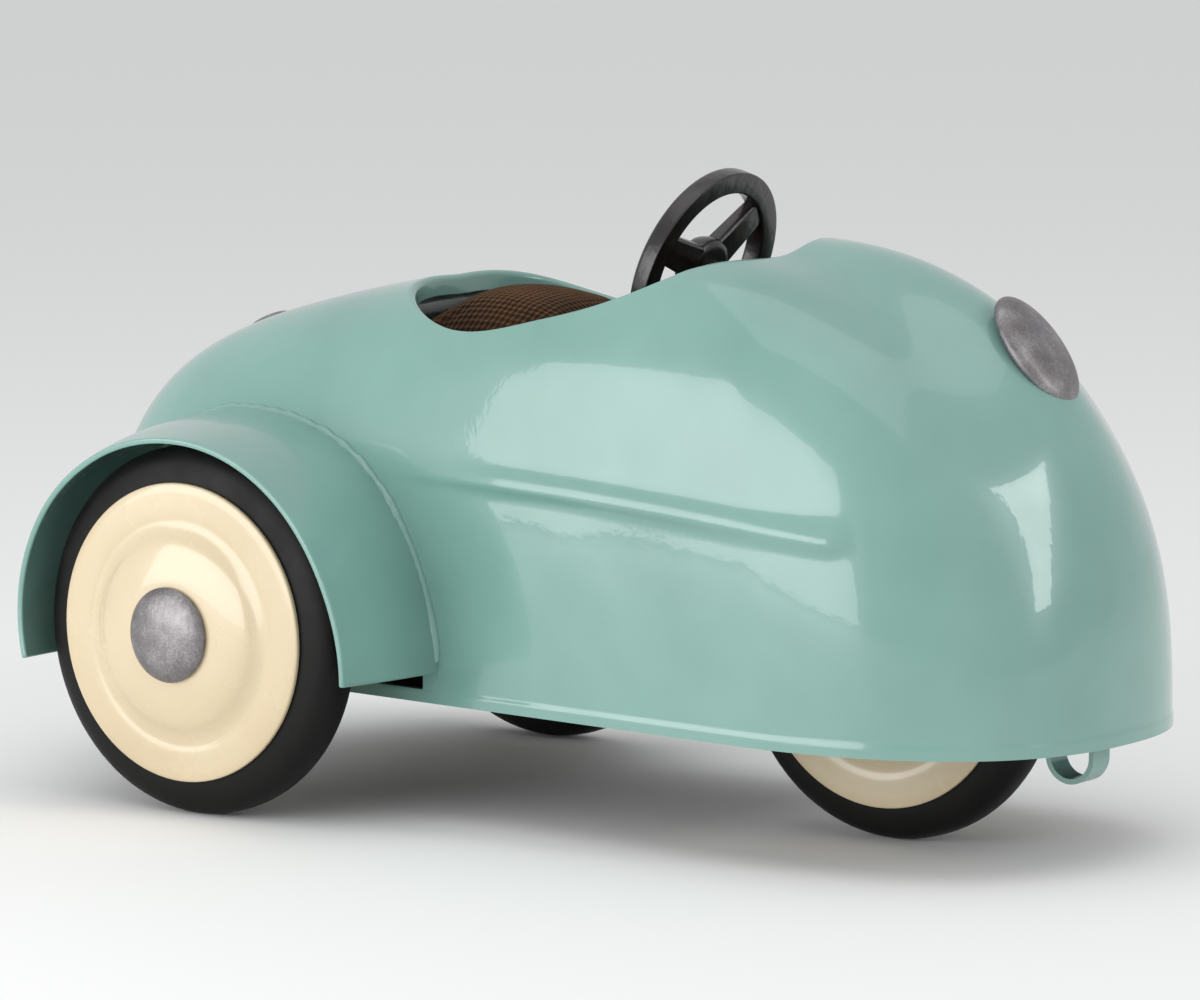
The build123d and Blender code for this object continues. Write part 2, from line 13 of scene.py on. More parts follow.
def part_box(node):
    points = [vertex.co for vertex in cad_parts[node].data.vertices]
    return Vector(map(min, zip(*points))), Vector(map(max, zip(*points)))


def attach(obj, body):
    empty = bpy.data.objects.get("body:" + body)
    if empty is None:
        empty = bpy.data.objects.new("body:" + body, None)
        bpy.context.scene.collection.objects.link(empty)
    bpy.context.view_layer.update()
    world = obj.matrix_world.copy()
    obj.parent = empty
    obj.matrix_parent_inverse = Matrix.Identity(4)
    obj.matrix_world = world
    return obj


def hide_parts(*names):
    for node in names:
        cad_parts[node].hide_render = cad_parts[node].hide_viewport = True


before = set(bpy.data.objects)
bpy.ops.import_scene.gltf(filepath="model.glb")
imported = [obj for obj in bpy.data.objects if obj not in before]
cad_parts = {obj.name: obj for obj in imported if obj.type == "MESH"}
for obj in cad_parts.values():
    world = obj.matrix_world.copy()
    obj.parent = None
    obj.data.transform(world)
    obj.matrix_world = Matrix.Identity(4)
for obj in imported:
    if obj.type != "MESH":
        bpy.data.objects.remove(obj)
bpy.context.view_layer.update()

MM = 0.001

# %% [markdown]
# ## Helpers for modelling
# Every operator works on what is selected, so each step starts with nothing selected. A finished
# piece keeps its place in its mesh, so its object is left at the origin, unturned and unscaled.


# %% Small modelling helpers
def clear_selection():
    """Leave edit mode and select nothing."""
    if bpy.context.mode != "OBJECT":
        bpy.ops.object.mode_set(mode="OBJECT")
    bpy.ops.object.select_all(action="DESELECT")


def choose(obj):
    """Make one object the only selected and active one."""
    clear_selection()
    obj.select_set(True)
    bpy.context.view_layer.objects.active = obj


def name_new(name):
    """Name the primitive that was just added."""
    obj = bpy.context.object
    obj.name = name
    obj.data.name = name
    return obj


def set_points(obj, points):
    """Move every vertex of a mesh to a row of an N x 3 array given in millimetres."""
    flat = (np.asarray(points) * MM).astype(np.float32).ravel()
    obj.data.vertices.foreach_set("co", flat)
    obj.data.update()


DOUBLES = 0.00001


def tidy_mesh(obj, angle=45):
    """Merge doubles, turn faces outwards and smooth all but sharp edges."""
    choose(obj)
    bpy.ops.object.mode_set(mode="EDIT")
    bpy.ops.mesh.select_all(action="SELECT")
    bpy.ops.mesh.remove_doubles(threshold=DOUBLES)
    bpy.ops.mesh.normals_make_consistent(inside=False)
    bpy.ops.object.mode_set(mode="OBJECT")
    bpy.ops.object.shade_smooth_by_angle(angle=math.radians(angle))


def finish_modifier(obj, kind, **settings):
    """Add one modifier, set it and apply it."""
    choose(obj)
    mod = obj.modifiers.new(kind.title(), kind)
    for key, value in settings.items():
        setattr(mod, key, value)
    bpy.ops.object.modifier_apply(modifier=mod.name)


def settle(obj, matrix=None):
    """Bake a place into the mesh and leave the object at the origin."""
    choose(obj)
    if matrix is not None:
        obj.matrix_world = matrix @ obj.matrix_world
    bpy.ops.object.transform_apply(location=True, rotation=True, scale=True)


def hand_over(obj, body, material, slot, *nodes):
    """Give a finished piece its material, its body and the CAD nodes it stands for."""
    obj.data.materials.clear()
    obj.data.materials.append(material)
    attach(obj, body)
    if nodes:
        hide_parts(*nodes)
    lo = [min(v.co[k] for v in obj.data.vertices) / MM for k in range(3)]
    hi = [max(v.co[k] for v in obj.data.vertices) / MM for k in range(3)]
    faces = len(obj.data.polygons)
    print(f"{obj.name}: {faces} faces, from {np.round(lo, 1)} to {np.round(hi, 1)} mm")


# %% [markdown]
# ## Helpers for materials
# A material is a small network of nodes. One function adds a node with its settings and links,
# and one turns the sRGB hex colours that people use into the linear values that a renderer needs.
# A pattern's scale is worked out from a real size, so that it stays right on a car this small.


# %% Material helpers
PATTERN_LOW, PATTERN_HIGH = 0.3, 0.7  # most values of a noise pattern lie between these
MIX_A, MIX_B, MIX_RESULT = 6, 7, 2  # the colour sockets of a Mix node


def colour(code):
    """sRGB hex to linear RGBA."""
    parts = [int(code[k:k + 2], 16) / 255 for k in (0, 2, 4)]
    return [v / 12.92 if v <= 0.04045 else ((v + 0.055) / 1.055) ** 2.4 for v in parts] + [1.0]


def every(size_mm):
    """Scale of a pattern whose features are about so many millimetres apart."""
    return 1 / (size_mm * MM)


def wire(tree, node, links):
    """Link inputs of a node, given by name or number, to outputs of other nodes."""
    for target, source in links.items():
        tree.links.new(source, node.inputs[target])


def add(tree, kind, links, stops=(), **settings):
    """Add one node; settings name sockets or properties, stops are a colour ramp's."""
    node = tree.nodes.new("ShaderNode" + kind)
    for key, value in settings.items():
        plain = key.replace("_", " ").lower()
        socket = next((s for s in node.inputs if s.name.lower() == plain and s.enabled), None)
        if socket is not None:
            socket.default_value = value
        else:
            setattr(node, key, value)
    for _ in stops[2:]:
        node.color_ramp.elements.new(0.5)
    for element, (spot, value) in zip(node.color_ramp.elements if stops else (), stops):
        element.position = spot
        element.color = colour(value) if isinstance(value, str) else [value, value, value, 1]
    wire(tree, node, links)
    return node


def new_material(name, **shader_settings):
    """A fresh material with its shader and Object coordinates."""
    material = bpy.data.materials.new(name)
    material.use_nodes = True
    tree = material.node_tree
    shader = next(n for n in tree.nodes if n.type == "BSDF_PRINCIPLED")
    for key, value in shader_settings.items():
        shader.inputs[key.replace("_", " ")].default_value = value
    place = add(tree, "TexCoord", {}).outputs["Object"]
    return material, tree, shader, place


# %% [markdown]
# ## Stove enamel on the body
# The body is sprayed with thick teal enamel and baked. Enamel is a soft glossy film: the sheet
# shows through as slow waves, and the film itself has a fine orange-peel ripple under a millimetre
# across. Both are bump patterns; the colour only drifts a little.


# %% Teal, cream and black enamel
PEEL_MM, PEEL_DEPTH = 0.9, 0.006


def enamel(name, light, base, deep, rough, wave_mm=14, wave_depth=0.10):
    """Baked enamel over sheet that waves by wave_depth millimetres."""
    material, tree, shader, place = new_material(
        name, Roughness=rough, IOR=1.5, Coat_Weight=0.6, Coat_Roughness=0.03, Coat_IOR=1.5
    )
    drift = add(tree, "TexNoise", {"Vector": place}, Scale=every(30), Detail=3.0, Roughness=0.55)
    shade = add(tree, "ValToRGB", {"Fac": drift.outputs["Fac"]},
                stops=[(0.3, deep), (0.5, base), (0.72, light)])
    dust = add(tree, "TexNoise", {"Vector": place}, Scale=every(1.1), Detail=2.0)
    speck = add(tree, "ValToRGB", {"Fac": dust.outputs["Fac"]}, stops=[(0.0, 0.82), (0.30, 1.0)])
    mixed = add(tree, "Mix", {MIX_A: shade.outputs["Color"], MIX_B: speck.outputs["Color"]},
                data_type="RGBA", blend_type="MULTIPLY", Factor=0.5)
    gloss = add(tree, "TexNoise", {"Vector": place}, Scale=every(9), Detail=4.0)
    spread = add(tree, "MapRange", {"Value": gloss.outputs["Fac"]}, From_Min=PATTERN_LOW,
                 From_Max=PATTERN_HIGH, To_Min=rough * 0.8, To_Max=rough * 1.35)
    wave = add(tree, "TexNoise", {"Vector": place}, Scale=every(wave_mm), Detail=1.0)
    slow = add(tree, "Bump", {"Height": wave.outputs["Fac"]}, Strength=1.0,
               Distance=wave_depth * MM)
    peel = add(tree, "TexNoise", {"Vector": place}, Scale=every(PEEL_MM), Detail=1.5)
    fine = add(tree, "Bump", {"Height": peel.outputs["Fac"], "Normal": slow.outputs["Normal"]},
               Strength=1.0, Distance=PEEL_DEPTH * MM)
    wire(tree, shader, {"Base Color": mixed.outputs[MIX_RESULT],
                        "Roughness": spread.outputs["Result"],
                        "Normal": fine.outputs["Normal"], "Coat Normal": fine.outputs["Normal"]})
    return material


TEAL = enamel("Stove_enamel_teal", "80A9A0", "79A299", "729B92", 0.20)
CREAM = enamel("Stove_enamel_cream", "DAC9A9", "D3C19F", "C9B693", 0.24, wave_mm=9, wave_depth=0.05)
BLACK = enamel("Stove_enamel_black", "171210", "0F0C0B", "080606", 0.20, wave_mm=6, wave_depth=0.04)
print("enamels:", TEAL.name, CREAM.name, BLACK.name)

# %% [markdown]
# ## Silver paint, rubber, bare steel and cast metal
# The caps and the lamp are brushed by hand with aluminium paint, which dries in fine flakes and
# bristle ridges. The tyres are moulded rubber with a satin skin. The hidden shafts are drawn steel,
# with fine lines along their length. The steering wheel is a rough casting dipped in lacquer, which
# softens its skin but doesn't hide it.


# %% Silver paint
def silver_paint():
    """Flakes and soft patches for the colour, flakes and bristle ridges for the relief."""
    material, tree, shader, place = new_material(
        "Aluminium_paint_brushed", Metallic=0.85, Roughness=0.42, Coat_Weight=0.15,
        Coat_Roughness=0.25,
    )
    flakes = add(tree, "TexNoise", {"Vector": place}, Scale=every(0.35), Detail=4.0, Roughness=0.7)
    patches = add(tree, "TexNoise", {"Vector": place}, Scale=every(3.5), Detail=3.0)
    both = add(tree, "Math", {0: flakes.outputs["Fac"], 1: patches.outputs["Fac"]}, operation="ADD")
    half = add(tree, "Math", {0: both.outputs["Value"]}, operation="MULTIPLY")
    half.inputs[1].default_value = 0.5
    shade = add(tree, "ValToRGB", {"Fac": half.outputs["Value"]},
                stops=[(0.32, "696567"), (0.5, "858183"), (0.68, "ACA9AA")])
    rough = add(tree, "MapRange", {"Value": flakes.outputs["Fac"]}, From_Min=PATTERN_LOW,
                From_Max=PATTERN_HIGH, To_Min=0.36, To_Max=0.55)
    grain = add(tree, "Bump", {"Height": flakes.outputs["Fac"]}, Strength=0.6, Distance=0.05 * MM)
    strokes = add(tree, "Mapping", {"Vector": place}, Rotation=(0.3, 0.9, 0.4),
                  Scale=(1.0, 1.0, 0.12))
    bristle = add(tree, "TexNoise", {"Vector": strokes.outputs["Vector"]}, Scale=every(0.6),
                  Detail=3.0)
    ridges = add(tree, "Bump", {"Height": bristle.outputs["Fac"],
                                "Normal": grain.outputs["Normal"]},
                 Strength=0.7, Distance=0.07 * MM)
    wire(tree, shader, {"Base Color": shade.outputs["Color"], "Roughness": rough.outputs["Result"],
                        "Normal": ridges.outputs["Normal"]})
    return material


SILVER = silver_paint()
print("paint:", SILVER.name)


# %% Rubber
def rubber():
    """A slow bloom in colour and gloss over a fine moulded grain."""
    material, tree, shader, place = new_material(
        "Moulded_rubber_black", Roughness=0.52, IOR=1.52, Specular_IOR_Level=0.22
    )
    bloom = add(tree, "TexNoise", {"Vector": place}, Scale=every(7), Detail=5.0, Roughness=0.6)
    shade = add(tree, "ValToRGB", {"Fac": bloom.outputs["Fac"]},
                stops=[(0.3, "060505"), (0.55, "0A0908"), (0.75, "110F0E")])
    rough = add(tree, "MapRange", {"Value": bloom.outputs["Fac"]}, From_Min=PATTERN_LOW,
                From_Max=PATTERN_HIGH, To_Min=0.42, To_Max=0.60)
    grain = add(tree, "TexNoise", {"Vector": place}, Scale=every(0.4), Detail=3.0)
    relief = add(tree, "Bump", {"Height": grain.outputs["Fac"]}, Strength=0.5, Distance=0.03 * MM)
    wire(tree, shader, {"Base Color": shade.outputs["Color"], "Roughness": rough.outputs["Result"],
                        "Normal": relief.outputs["Normal"]})
    return material


RUBBER = rubber()
print("rubber:", RUBBER.name)


# %% Bare steel
def bare_steel():
    """Drawing lines, as a noise stretched along the shafts."""
    material, tree, shader, place = new_material("Drawn_steel_bare", Metallic=1.0, Roughness=0.34)
    stretch = add(tree, "Mapping", {"Vector": place}, Scale=(1.0, 0.05, 1.0))
    lines = add(tree, "TexNoise", {"Vector": stretch.outputs["Vector"]}, Scale=every(0.3),
                Detail=3.0)
    shade = add(tree, "ValToRGB", {"Fac": lines.outputs["Fac"]},
                stops=[(0.3, "8F8C88"), (0.6, "B4B1AC")])
    rough = add(tree, "MapRange", {"Value": lines.outputs["Fac"]}, From_Min=PATTERN_LOW,
                From_Max=PATTERN_HIGH, To_Min=0.26, To_Max=0.46)
    relief = add(tree, "Bump", {"Height": lines.outputs["Fac"]}, Strength=0.5, Distance=0.01 * MM)
    wire(tree, shader, {"Base Color": shade.outputs["Color"], "Roughness": rough.outputs["Result"],
                        "Normal": relief.outputs["Normal"]})
    return material


STEEL = bare_steel()
print("steel:", STEEL.name)


# %% Cast and dipped metal
def dipped_casting():
    """Soft lumps of the casting with small pits on top, under one coat of lacquer."""
    material, tree, shader, place = new_material(
        "Cast_metal_black_lacquer", Roughness=0.34, IOR=1.5, Coat_Weight=0.4, Coat_Roughness=0.18
    )
    tone = add(tree, "TexNoise", {"Vector": place}, Scale=every(4), Detail=4.0)
    shade = add(tree, "ValToRGB", {"Fac": tone.outputs["Fac"]},
                stops=[(0.3, "0D0907"), (0.55, "181110"), (0.8, "2A1D18")])
    lumps = add(tree, "TexNoise", {"Vector": place}, Scale=every(2.2), Detail=2.0)
    soft = add(tree, "Bump", {"Height": lumps.outputs["Fac"]}, Strength=0.7, Distance=0.16 * MM)
    pits = add(tree, "TexNoise", {"Vector": place}, Scale=every(0.6), Detail=2.0)
    fine = add(tree, "Bump", {"Height": pits.outputs["Fac"], "Normal": soft.outputs["Normal"]},
               Strength=0.5, Distance=0.03 * MM)
    wire(tree, shader, {"Base Color": shade.outputs["Color"], "Normal": fine.outputs["Normal"],
                        "Coat Normal": fine.outputs["Normal"]})
    return material


CASTING = dipped_casting()
print("casting:", CASTING.name)

# %% [markdown]
# ## Woven cloth
# The seat pad is covered in brown cotton. Its threads cross about every 0.9 mm, which is coarse
# against a car this small. Two wave patterns at right angles give the warp and the weft, and their
# product darkens the colour in the small holes between threads: painted shade where the relief is
# low.


# %% Brown cloth
THREAD = 0.9 * MM
WAVE_REPEAT = 0.314  # a wave pattern of scale 1 repeats about this often


def woven_cloth():
    """Warp and weft as relief, painted shade in the holes between them and faded blotches."""
    material, tree, shader, place = new_material(
        "Cotton_weave_brown", Roughness=0.95, Sheen_Weight=0.35, Sheen_Roughness=0.5,
        Specular_IOR_Level=0.2, Sheen_Tint=colour("B58A5E"),
    )
    warp, weft = (
        add(tree, "TexWave", {"Vector": place}, Scale=WAVE_REPEAT / THREAD, Distortion=1.2,
            Detail=2.0, Detail_Scale=2.0, bands_direction=axis).outputs["Fac"]
        for axis in ("X", "Y")
    )
    weave = add(tree, "Math", {0: warp, 1: weft}, operation="MULTIPLY")
    over = add(tree, "Math", {0: warp, 1: weft}, operation="MAXIMUM")
    height = add(tree, "Math", {0: weave.outputs["Value"], 1: over.outputs["Value"]},
                 operation="ADD")
    blotch = add(tree, "TexNoise", {"Vector": place}, Scale=every(6), Detail=4.0)
    tone = add(tree, "ValToRGB", {"Fac": blotch.outputs["Fac"]},
               stops=[(0.3, "1F1108"), (0.55, "341E0E"), (0.8, "4F3019")])
    # Painted shade: the colour is darkened where the weave's relief is low, in the gaps between
    # threads.
    painted_gap_shade = add(tree, "ValToRGB", {"Fac": height.outputs["Value"]},
                stops=[(0.15, 0.28), (0.9, 1.0)])
    mixed = add(tree, "Mix", {MIX_A: tone.outputs["Color"], MIX_B: painted_gap_shade.outputs["Color"]},
                data_type="RGBA", blend_type="MULTIPLY", Factor=1.0)
    relief = add(tree, "Bump", {"Height": height.outputs["Value"]}, Strength=0.9,
                 Distance=0.22 * MM)
    wire(tree, shader, {"Base Color": mixed.outputs[MIX_RESULT],
                        "Normal": relief.outputs["Normal"]})
    return material


CLOTH = woven_cloth()
print("materials:", [m.name for m in bpy.data.materials])

# %% [markdown]
# ## The body skin
# The skin is one pressing: an oval sill below, a rounded nose with a soft ridge, an open cockpit
# whose edge turns inwards, and a raised line along each side. A grid is wrapped into rings that run
# from the sill to the cockpit's edge, so the rings end exactly on the opening and the surface stays
# smooth. Bending a primitive grid by formula suits it better than pushing faces by hand.

# %% Sizes of the skin, in millimetres, with X counted from the rear axle
SHIFT = -38.7
NOSE_X, TAIL_X, SILL_Z = 121.4, -44.0, 16.0
HALF_WIDTH, WIDEST_X, TAPER, TAIL_START = 31.5, 85.0, 0.08, 8.0
NOSE_POWER, TAIL_POWER = 2.4, 3.0
HEIGHTS = (74.6, 8.3, 0.6, -3.7)
SQUARE_SIDE, SQUARE_NOSE, SQUARE_RIDGE, SQUARE_TAIL, RIDGE = 4.15, 2.38, 3.7, 2.6, 17.0
CROWN_X, HEIGHT_SPAN = 34.0, 50
BEARING_LONG, BEARING_WIDE = 60, 30
COCKPIT_X, COCKPIT_LONG, COCKPIT_WIDE, COCKPIT_POWER = 43.5, 30.5, 23.4, 2.8
SHEET = 0.8


def top_height(x):
    """Height of the middle line, a cubic about the crown."""
    t = (x - CROWN_X) / HEIGHT_SPAN
    return HEIGHTS[0] + HEIGHTS[1] * t + HEIGHTS[2] * t ** 2 + HEIGHTS[3] * t ** 3


def half_width(x):
    """Half width of the sill at x."""
    nose = np.clip((x - WIDEST_X) / (NOSE_X - WIDEST_X), 0, 1)
    tail = np.clip((TAIL_START - x) / (TAIL_START - TAIL_X), 0, 1)
    close = (1 - nose ** NOSE_POWER) ** (1 / NOSE_POWER)
    close = close * (1 - tail ** TAIL_POWER) ** (1 / TAIL_POWER)
    return (HALF_WIDTH - TAPER * np.clip(WIDEST_X - x, 0, None)) * close


def squareness(x0, y0):
    """How square the section is, by the bearing of the sill point from the cockpit."""
    bearing = np.arctan2(y0 / BEARING_WIDE, (x0 - CROWN_X) / BEARING_LONG)
    ahead = np.clip(np.cos(bearing), 0, 1) ** 2
    behind = np.clip(-np.cos(bearing), 0, 1) ** 2
    power = SQUARE_SIDE + (SQUARE_NOSE - SQUARE_SIDE) * ahead + (SQUARE_TAIL - SQUARE_SIDE) * behind
    return power + (SQUARE_RIDGE - SQUARE_NOSE) * np.exp(-(np.degrees(bearing) / RIDGE) ** 2)


def skin(x0, y0, rise):
    """Points of the skin above a sill point; rise runs from 0 at the sill towards 1."""
    power = squareness(x0, y0)
    angle = rise * np.pi / 2
    x = CROWN_X + (x0 - CROWN_X) * np.cos(angle) ** (2 / power)
    y = y0 * np.cos(angle) ** (2 / power)
    z = SILL_Z + (top_height(x) - SILL_Z) * np.sin(angle) ** (2 / power)
    return x, y, z


print("top of the crown is", HEIGHTS[0], "mm up")


# %% Sill points spaced evenly round the car
AROUND, UP = 288, 150
OUTLINE_STEPS = 4001
ends = np.sin(np.linspace(-np.pi / 2, np.pi / 2, OUTLINE_STEPS))
side_x = (NOSE_X + TAIL_X) / 2 + ends * (NOSE_X - TAIL_X) / 2
side_y = half_width(side_x)
loop_x = np.concatenate([side_x, side_x[::-1][1:]])
loop_y = np.concatenate([-side_y, side_y[::-1][1:]])
run = np.concatenate([[0], np.cumsum(np.hypot(np.diff(loop_x), np.diff(loop_y)))])
even = np.linspace(0, run[-1], AROUND + 1)
sill_x, sill_y = np.interp(even, run, loop_x), np.interp(even, run, loop_y)
print("sill is", round(run[-1], 1), "mm round")


# %% Rings from the sill to the cockpit's edge
COLUMN_STEPS, FINER_BELOW = 1200, 1.7
FINER_AT_EDGE = 0.35  # how much closer the rings lie near the cockpit's edge


def even_column(x0, y0):
    """One column of skin points from the sill to the cockpit's edge."""
    fine = np.linspace(0, 1, COLUMN_STEPS) ** FINER_BELOW
    x, y, z = skin(x0, y0, fine)
    outside = np.abs((x - COCKPIT_X) / COCKPIT_LONG) ** COCKPIT_POWER
    outside = outside + np.abs(y / COCKPIT_WIDE) ** COCKPIT_POWER
    stop = int(np.argmax(outside < 1))
    part = (outside[stop - 1] - 1) / (outside[stop - 1] - outside[stop])
    cut = [v[:stop + 1].copy() for v in (x, y, z)]
    for v in cut:
        v[-1] = v[-2] + (v[-1] - v[-2]) * part
    length = np.concatenate([[0], np.cumsum(np.sqrt(sum(np.diff(v) ** 2 for v in cut)))])
    spots = np.linspace(0, 1, UP + 1)
    spots = length[-1] * (spots + FINER_AT_EDGE * spots * (spots - 1))
    return np.stack([np.interp(spots, length, v) for v in cut], -1)


rings = np.stack([even_column(x0, y0) for x0, y0 in zip(sill_x, sill_y)], 1)
print("rings:", rings.shape)


# %% [markdown]
# ### The hem, the raised line and the rolled lip
# The lower edge is folded back on itself, so it stands out a little as a band. The raised line is a
# crease pressed from inside: steep below, soft above, fading into the fender and ending bluntly
# short of the nose. The cockpit's edge rolls over and down.


# %% Push the surface out where it is pressed
def grid_normals(points):
    """Outward normals of the ring grid."""
    along = np.roll(points[:, :-1], -1, 1) - np.roll(points[:, :-1], 1, 1)
    along = np.concatenate([along, along[:, :1]], 1)
    up = np.gradient(points, axis=0)
    normal = np.cross(along, up)
    return normal / np.linalg.norm(normal, axis=2, keepdims=True)


def smooth_step(value, start, end):
    """Rise from 0 at start to 1 at end, level at both."""
    t = np.clip((value - start) / (end - start), 0, 1)
    return t * t * (3 - 2 * t)


HEM_HEIGHT, HEM_PROUD = 1.6, 0.14
HEM_BELOW, HEM_ABOVE = 0.25, 0.35
LINE_START, LINE_END, LINE_PROUD = 18.0, 97.5, 0.95
LINE_FADE, LINE_BLUNT = 25, 1.6
LINE_Z, LINE_FROM_X, LINE_FALL, LINE_CURVE = 46.3, 30, 0.016, 0.00062
LINE_STEEP, LINE_SOFT = 0.75, 2.6
SIDE_FROM, SIDE_FULL = 18, 22
x, y, z = rings[..., 0], rings[..., 1], rings[..., 2]
hem_top = SILL_Z + HEM_HEIGHT
hem = HEM_PROUD * (1 - smooth_step(z, hem_top - HEM_BELOW, hem_top + HEM_ABOVE))
crest = LINE_Z - LINE_CURVE * np.clip(x - LINE_FROM_X, 0, None) ** 2 - LINE_FALL * (x - LINE_FROM_X)
below = np.exp(-np.clip(crest - z, 0, None) ** 2 / LINE_STEEP ** 2)
above = np.exp(-np.clip(z - crest, 0, None) ** 2 / LINE_SOFT ** 2)
fade = smooth_step(x, LINE_START, LINE_START + LINE_FADE)
fade = fade * (1 - smooth_step(x, LINE_END - LINE_BLUNT, LINE_END))
on_side = smooth_step(np.abs(y), SIDE_FROM, SIDE_FULL)
line = LINE_PROUD * np.where(z < crest, below, above) * fade * on_side
pressed = rings + grid_normals(rings) * (hem + line)[..., None]
print("raised line stands", round(float(line.max()), 2), "mm proud")

# %% Roll the cockpit's edge inwards and down
LIP_R, LIP_STEPS, LIP_DROPS = 0.75, 8, (0.5, 1.2, 1.9)
edge = pressed[-1]
ahead = np.roll(edge[:-1], -1, 0) - np.roll(edge[:-1], 1, 0)
ahead = np.concatenate([ahead, ahead[:1]], 0)
inward = np.stack([-ahead[:, 1], ahead[:, 0], 0 * ahead[:, 0]], -1)
inward /= np.linalg.norm(inward, axis=1, keepdims=True)
lip = []
for turn in range(1, LIP_STEPS + 1):
    angle = turn / LIP_STEPS * math.pi / 2
    sunk = np.array([0, 0, -LIP_R * (1 - math.cos(angle))])
    lip.append(edge + inward * LIP_R * math.sin(angle) + sunk)
for drop in LIP_DROPS:
    lip.append(lip[LIP_STEPS - 1] + np.array([0, 0, -drop]))
pressed = np.concatenate([pressed, np.stack(lip)], 0)
pressed[..., 0] += SHIFT
print("rings with the lip:", pressed.shape[0])

# %% Wrap a grid into the skin and give it its thickness
clear_selection()
bpy.ops.mesh.primitive_grid_add(
    x_subdivisions=AROUND, y_subdivisions=pressed.shape[0] - 1, size=1
)
body = name_new("body_skin")
set_points(body, pressed.reshape(-1, 3))
tidy_mesh(body)
finish_modifier(body, "SOLIDIFY", thickness=SHEET * MM, offset=-1, use_even_offset=False)
print("skin has", len(body.data.polygons), "faces")

# %% [markdown]
# ### Openings beside the rear wheels
# The skin is cut away behind each wheel, where the chassis shows, but its folded hem runs on below.
# A cutter shaped like the arch, with a straight front edge, takes the metal away in one Boolean.


# %% Cut the wheel arches
ARCH_R, AXLE_Z = 27.2, 25.0
ARCH_X, ARCH_Y, ARCH_DEEP, ABOVE_HEM = SHIFT + 0.5, 35, 30, 0.1
for side in (-1, 1):
    clear_selection()
    bpy.ops.mesh.primitive_cylinder_add(
        vertices=96, radius=ARCH_R * MM, depth=ARCH_DEEP * MM,
        location=(ARCH_X * MM, side * ARCH_Y * MM, AXLE_Z * MM), rotation=(math.pi / 2, 0, 0),
    )
    cutter = name_new("arch_cutter")
    settle(cutter)
    for v in cutter.data.vertices:
        if v.co.z < AXLE_Z * MM and v.co.x > ARCH_X * MM:
            v.co.x = (ARCH_X + ARCH_R) * MM
        v.co.z = max(v.co.z, (SILL_Z + HEM_HEIGHT + ABOVE_HEM) * MM)
    finish_modifier(body, "BOOLEAN", operation="DIFFERENCE", object=cutter, solver="EXACT")
    bpy.data.objects.remove(cutter)
choose(body)
bpy.ops.object.shade_smooth_by_angle(angle=math.radians(40))
hand_over(body, "car_body", TEAL, "body_enamel", "body_shell")

# %% [markdown]
# ## The rear fenders
# Each fender is a separate pressing, wider towards the body and higher behind the wheel, welded to
# the skin. It is a grid bent over the wheel: one direction follows the wheel, the other goes from
# the weld out to the cut edge.

# %% Fender sizes: angle from straight ahead, radius at the body, radius at the edge
FENDER = np.array([
    (-9, 31.0, 29.4), (20, 28.8, 27.2), (50, 27.9, 26.4), (90, 27.8, 26.3),
    (120, 30.6, 26.9), (145, 33.2, 27.6), (170, 32.4, 27.8), (192, 31.0, 27.6),
])
FENDER_IN, FENDER_OUT, FENDER_FLARE = 15.0, 45.8, 2.4
TUCKED_IN = 0.03  # share of the width that runs on inside the skin


def fender_radii(angle):
    """Smooth curve through the fender's stations."""
    spot = np.clip(np.searchsorted(FENDER[:, 0], angle, side="right") - 1, 0, len(FENDER) - 2)
    a0, a1 = FENDER[spot], FENDER[spot + 1]
    before, after = FENDER[max(spot - 1, 0)], FENDER[min(spot + 2, len(FENDER) - 1)]
    t, span = (angle - a0[0]) / (a1[0] - a0[0]), a1[0] - a0[0]
    m0 = (a1 - before) / (a1[0] - before[0]) * span
    m1 = (after - a0) / (after[0] - a0[0]) * span
    both = (2 * t ** 3 - 3 * t ** 2 + 1) * a0 + (t ** 3 - 2 * t ** 2 + t) * m0
    both = both + (3 * t ** 2 - 2 * t ** 3) * a1 + (t ** 3 - t ** 2) * m1
    return both[1], both[2]


def skin_half_width(x, z):
    """Half width of the finished skin at a height."""
    share = np.clip((z - SILL_Z) / (top_height(x) - SILL_Z), 0, 0.999)
    shrink = 0.97  # a first guess, which each round corrects
    for _ in range(12):
        x0 = CROWN_X + (x - CROWN_X) / shrink
        y0 = max(float(half_width(np.clip(x0, TAIL_X + 0.01, NOSE_X))), 0.01)
        power = float(squareness(x0, y0))
        shrink = (1 - share ** power) ** (1 / power)
    return y0 * shrink


print("fender is", FENDER_OUT - FENDER_IN, "mm wide before it is trimmed to the skin")

# %% Bend one fender
def fender_point(angle, v):
    """Point of the fender's outer face; v runs from the inner edge to the cut edge."""
    at_body, at_lip = fender_radii(angle)
    radius = at_body + (at_lip - at_body) * v ** FENDER_FLARE
    y = FENDER_IN + (FENDER_OUT - FENDER_IN) * v
    a = math.radians(angle)
    return radius * math.cos(a), y, AXLE_Z + radius * math.sin(a)


def weld_share(angle):
    """Share v at which the fender meets the skin."""
    low, high = 0.0, 0.95
    for _ in range(24):
        mid = (low + high) / 2
        px, py, pz = fender_point(angle, mid)
        if py < skin_half_width(px, max(pz, SILL_Z + 0.5)):
            low = mid
        else:
            high = mid
    return low


LONG, ACROSS, TOP_ROW = 150, 44, 75
angles = np.linspace(FENDER[0, 0], FENDER[-1, 0] - 0.01, LONG + 1)
welds = [weld_share(a) for a in angles]
weld_top = FENDER_IN + (FENDER_OUT - FENDER_IN) * welds[TOP_ROW]
print("weld lies", round(weld_top, 1), "mm out at the top")
fender_grid = []
for row in range(ACROSS + 1):
    for a, w in zip(angles, welds):
        start = max(w - TUCKED_IN, 0.0)
        fender_grid.append(fender_point(a, start + (1 - start) * row / ACROSS))
fender_grid = np.array(fender_grid)

